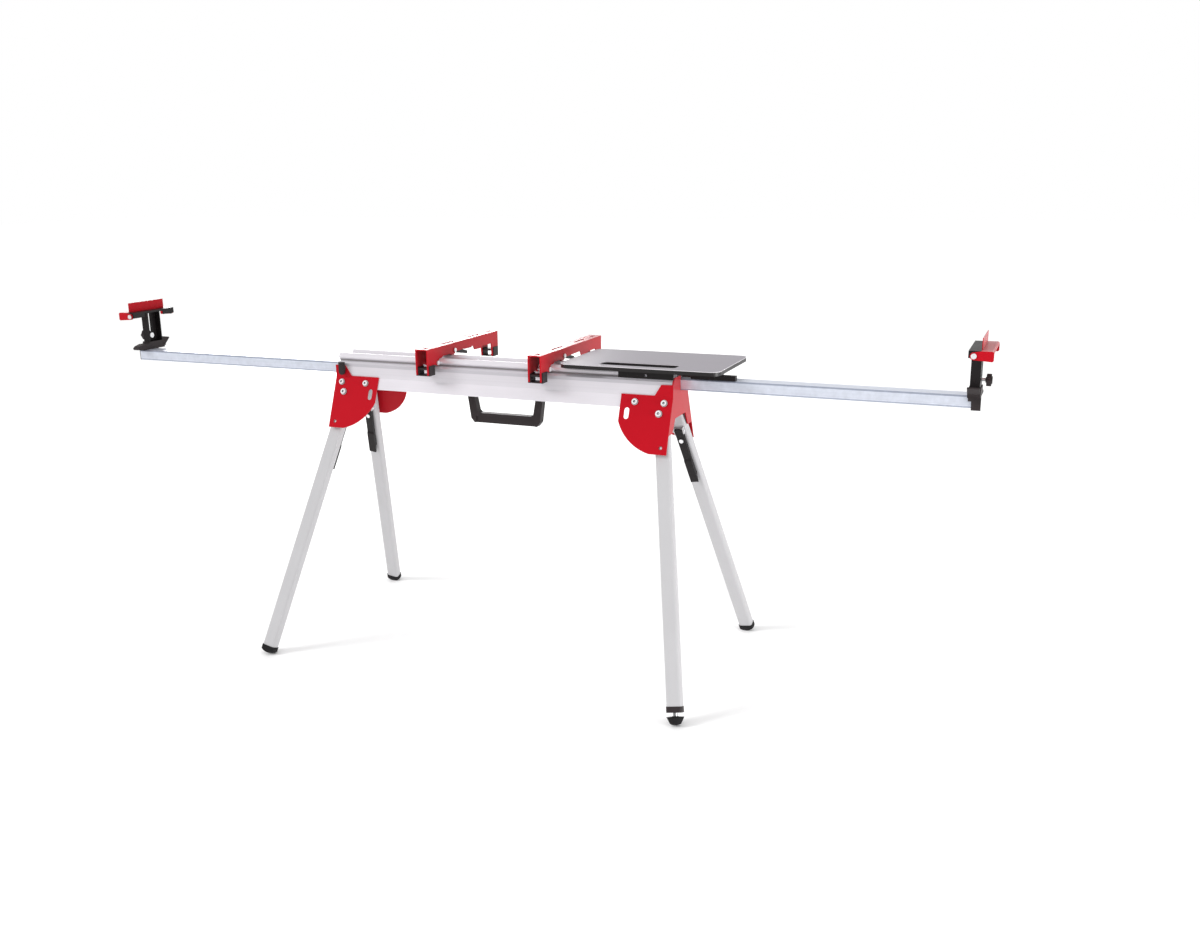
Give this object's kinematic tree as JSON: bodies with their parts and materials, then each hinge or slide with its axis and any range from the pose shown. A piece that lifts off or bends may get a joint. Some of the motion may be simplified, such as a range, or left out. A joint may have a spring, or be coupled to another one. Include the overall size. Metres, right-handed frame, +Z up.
{
  "type": "folding mitre saw stand",
  "caption": "Folding mitre saw stand: extruded beam on splayed folding legs, sliding end extensions with work rests, clamp-on saw brackets and a small table.",
  "frame": {"origin": "on the floor, under the middle of the beam", "axes": "+X along the beam towards the table end, +Y to the rear, away from the carry handle's view, +Z up"},
  "size_m": [2.582, 0.6981, 0.961],
  "materials": {
    "anodised_beam": "satin anodised",
    "leg_paint": "satin powder coat",
    "zinc_tube": "zinc plated",
    "red_paint": "satin powder coat",
    "black_paint": "satin",
    "black_plastic": "moulded, fine grain",
    "rubber_foot": "matt",
    "zinc_hardware": "zinc plated",
    "table_top": "semi-gloss"
  },
  "bodies": {
    "frame": {"beam": "anodised_beam", "bracket_left": "red_paint", "bracket_right": "red_paint", "bracket_bolts": "zinc_hardware", "hinge_bolts": "zinc_hardware", "lock_nuts": "zinc_hardware", "carry_handle": "black_plastic", "handle_screws": "zinc_hardware"},
    "leg_assembly_front_left": {"leg_front_left": "leg_paint", "catch_hinge_front_left": "zinc_hardware", "foot_front_left": "rubber_foot"},
    "catch_lever_front_left": {"catch_front_left": "black_paint"},
    "pin_front_left": {"lock_pin_front_left": "zinc_hardware"},
    "leg_assembly_rear_left": {"leg_rear_left": "leg_paint", "catch_hinge_rear_left": "zinc_hardware", "foot_rear_left": "rubber_foot"},
    "catch_lever_rear_left": {"catch_rear_left": "black_paint"},
    "pin_rear_left": {"lock_pin_rear_left": "zinc_hardware"},
    "leg_assembly_front_right": {"leg_front_right": "leg_paint", "catch_hinge_front_right": "zinc_hardware", "foot_collar": "black_plastic"},
    "catch_lever_front_right": {"catch_front_right": "black_paint"},
    "pin_front_right": {"lock_pin_front_right": "zinc_hardware"},
    "leg_assembly_rear_right": {"leg_rear_right": "leg_paint", "catch_hinge_rear_right": "zinc_hardware", "foot_rear_right": "rubber_foot"},
    "catch_lever_rear_right": {"catch_rear_right": "black_paint"},
    "pin_rear_right": {"lock_pin_rear_right": "zinc_hardware"},
    "levelling_screw": {"levelling_foot": "rubber_foot"},
    "extension_left": {"tube_left": "zinc_tube", "end_cap_left": "black_plastic", "stop_base_left": "black_plastic", "stop_post_left": "black_paint"},
    "rest_left": {"work_rest_left": "black_paint", "rest_bolt_left": "zinc_hardware", "flip_rivets_left": "zinc_hardware"},
    "knob_left": {"rest_knob_left": "black_plastic"},
    "stop_left": {"flip_stop_left": "red_paint"},
    "lock_left": {"tube_lock_left": "black_plastic"},
    "extension_right": {"tube_right": "zinc_tube", "end_cap_right": "black_plastic", "stop_base_right": "black_plastic", "stop_post_right": "black_paint"},
    "rest_right": {"work_rest_right": "black_paint", "rest_bolt_right": "zinc_hardware", "flip_rivets_right": "zinc_hardware"},
    "knob_right": {"rest_knob_right": "black_plastic"},
    "stop_right": {"flip_stop_right": "red_paint"},
    "lock_right": {"tube_lock_right": "black_plastic"},
    "saw_mount_1": {"saw_bracket_1": "red_paint", "saw_shoes_1": "black_plastic", "cross_bolts_1": "zinc_hardware"},
    "clamp_1": {"clamp_lever_1": "black_paint"},
    "saw_mount_2": {"saw_bracket_2": "red_paint", "saw_shoes_2": "black_plastic", "cross_bolts_2": "zinc_hardware"},
    "clamp_2": {"clamp_lever_2": "black_paint"},
    "work_table": {"table": "table_top", "table_hook": "black_paint", "table_support": "black_paint"}
  },
  "joints": [
    {"name": "fold_front_left", "type": "hinge", "parent": "frame", "child": "leg_assembly_front_left", "pos_m": [-0.483, -0.05217, 0.7225], "axis": [0, -0.9304, 0.3665], "range_deg": [0, 101.96]},
    {"name": "catch_front_left_pull", "type": "hinge", "parent": "leg_assembly_front_left", "child": "catch_lever_front_left", "pos_m": [-0.49358, -0.05614, 0.66059], "axis": [0.9843, -0.0647, -0.1641], "range_deg": [0, 6], "stiffness_Nm_per_rad": 0.8, "springref_deg": -20.05},
    {"name": "lock_pin_front_left_draw", "type": "slide", "parent": "leg_assembly_front_left", "child": "pin_front_left", "axis": [0, 0.9304, -0.3665], "range_m": [0, 0.0039]},
    {"name": "fold_rear_left", "type": "hinge", "parent": "frame", "child": "leg_assembly_rear_left", "pos_m": [-0.483, 0.05217, 0.7225], "axis": [0, -0.9304, -0.3665], "range_deg": [0, 101.96]},
    {"name": "catch_rear_left_pull", "type": "hinge", "parent": "leg_assembly_rear_left", "child": "catch_lever_rear_left", "pos_m": [-0.49358, 0.05614, 0.66059], "axis": [-0.9843, -0.0647, 0.1641], "range_deg": [0, 6], "stiffness_Nm_per_rad": 0.8, "springref_deg": -20.05},
    {"name": "lock_pin_rear_left_draw", "type": "slide", "parent": "leg_assembly_rear_left", "child": "pin_rear_left", "axis": [0, -0.9304, -0.3665], "range_m": [0, 0.0039]},
    {"name": "fold_front_right", "type": "hinge", "parent": "frame", "child": "leg_assembly_front_right", "pos_m": [0.483, -0.05217, 0.7225], "axis": [0, 0.9304, -0.3665], "range_deg": [0, 93.66]},
    {"name": "catch_front_right_pull", "type": "hinge", "parent": "leg_assembly_front_right", "child": "catch_lever_front_right", "pos_m": [0.49358, -0.05614, 0.66059], "axis": [0.9843, 0.0647, 0.1641], "range_deg": [0, 6], "stiffness_Nm_per_rad": 0.8, "springref_deg": -20.05},
    {"name": "lock_pin_front_right_draw", "type": "slide", "parent": "leg_assembly_front_right", "child": "pin_front_right", "axis": [0, 0.9304, -0.3665], "range_m": [0, 0.0039]},
    {"name": "fold_rear_right", "type": "hinge", "parent": "frame", "child": "leg_assembly_rear_right", "pos_m": [0.483, 0.05217, 0.7225], "axis": [0, 0.9304, 0.3665], "range_deg": [0, 93.66]},
    {"name": "catch_rear_right_pull", "type": "hinge", "parent": "leg_assembly_rear_right", "child": "catch_lever_rear_right", "pos_m": [0.49358, 0.05614, 0.66059], "axis": [-0.9843, 0.0647, -0.1641], "range_deg": [0, 6], "stiffness_Nm_per_rad": 0.8, "springref_deg": -20.05},
    {"name": "lock_pin_rear_right_draw", "type": "slide", "parent": "leg_assembly_rear_right", "child": "pin_rear_right", "axis": [0, -0.9304, -0.3665], "range_m": [0, 0.0039]},
    {"name": "levelling_foot_screw", "type": "slide", "parent": "leg_assembly_front_right", "child": "levelling_screw", "axis": [0.1764, -0.3608, -0.9158], "range_m": [-0.008, 0.015]},
    {"name": "extension_left_slide", "type": "slide", "parent": "frame", "child": "extension_left", "axis": [1, 0, 0], "range_m": [0, 0.67]},
    {"name": "tube_lock_left_turn", "type": "hinge", "parent": "frame", "child": "lock_left", "pos_m": [-0.491, -0.06, 0.798], "axis": [0, 1, 0], "range_deg": [-80, 80]},
    {"name": "work_rest_left_lift", "type": "slide", "parent": "extension_left", "child": "rest_left", "axis": [0, 0, 1], "range_m": [0, 0.045]},
    {"name": "rest_knob_left_turn", "type": "hinge", "parent": "rest_left", "child": "knob_left", "pos_m": [-1.271, 0, 0.8535], "axis": [-1, 0, 0], "continuous": true},
    {"name": "flip_stop_left_turn", "type": "hinge", "parent": "rest_left", "child": "stop_left", "pos_m": [-1.247, 0, 0.921], "axis": [0, -1, 0], "range_deg": [0, 70]},
    {"name": "extension_right_slide", "type": "slide", "parent": "frame", "child": "extension_right", "axis": [-1, 0, 0], "range_m": [0, 0.5]},
    {"name": "tube_lock_right_turn", "type": "hinge", "parent": "frame", "child": "lock_right", "pos_m": [0.491, 0.06, 0.798], "axis": [0, 1, 0], "range_deg": [-80, 80]},
    {"name": "work_rest_right_lift", "type": "slide", "parent": "extension_right", "child": "rest_right", "axis": [0, 0, 1], "range_m": [0, 0.045]},
    {"name": "rest_knob_right_turn", "type": "hinge", "parent": "rest_right", "child": "knob_right", "pos_m": [1.271, 0, 0.8535], "axis": [1, 0, 0], "continuous": true},
    {"name": "flip_stop_right_turn", "type": "hinge", "parent": "rest_right", "child": "stop_right", "pos_m": [1.247, 0, 0.921], "axis": [0, 1, 0], "range_deg": [0, 70]},
    {"name": "saw_bracket_1_slide", "type": "slide", "parent": "frame", "child": "saw_mount_1", "axis": [1, 0, 0], "range_m": [-0.25, 0.1]},
    {"name": "clamp_lever_1_lift", "type": "hinge", "parent": "saw_mount_1", "child": "clamp_1", "pos_m": [-0.199, 0.044, 0.85], "axis": [1, 0, 0], "range_deg": [0, 18]},
    {"name": "saw_bracket_2_slide", "type": "slide", "parent": "frame", "child": "saw_mount_2", "axis": [1, 0, 0], "range_m": [-0.1, 0.02]},
    {"name": "clamp_lever_2_lift", "type": "hinge", "parent": "saw_mount_2", "child": "clamp_2", "pos_m": [0.145, 0.044, 0.85], "axis": [1, 0, 0], "range_deg": [0, 18]},
    {"name": "table_slide", "type": "slide", "parent": "frame", "child": "work_table", "axis": [1, 0, 0], "range_m": [-0.025, 0.04]}
  ],
  "couplings": [
    {"joint": "lock_pin_front_left_draw", "follows": "catch_front_left_pull", "m_per_rad": 0.0368},
    {"joint": "lock_pin_rear_left_draw", "follows": "catch_rear_left_pull", "m_per_rad": 0.0368},
    {"joint": "lock_pin_front_right_draw", "follows": "catch_front_right_pull", "m_per_rad": 0.0368},
    {"joint": "lock_pin_rear_right_draw", "follows": "catch_rear_right_pull", "m_per_rad": 0.0368}
  ]
}
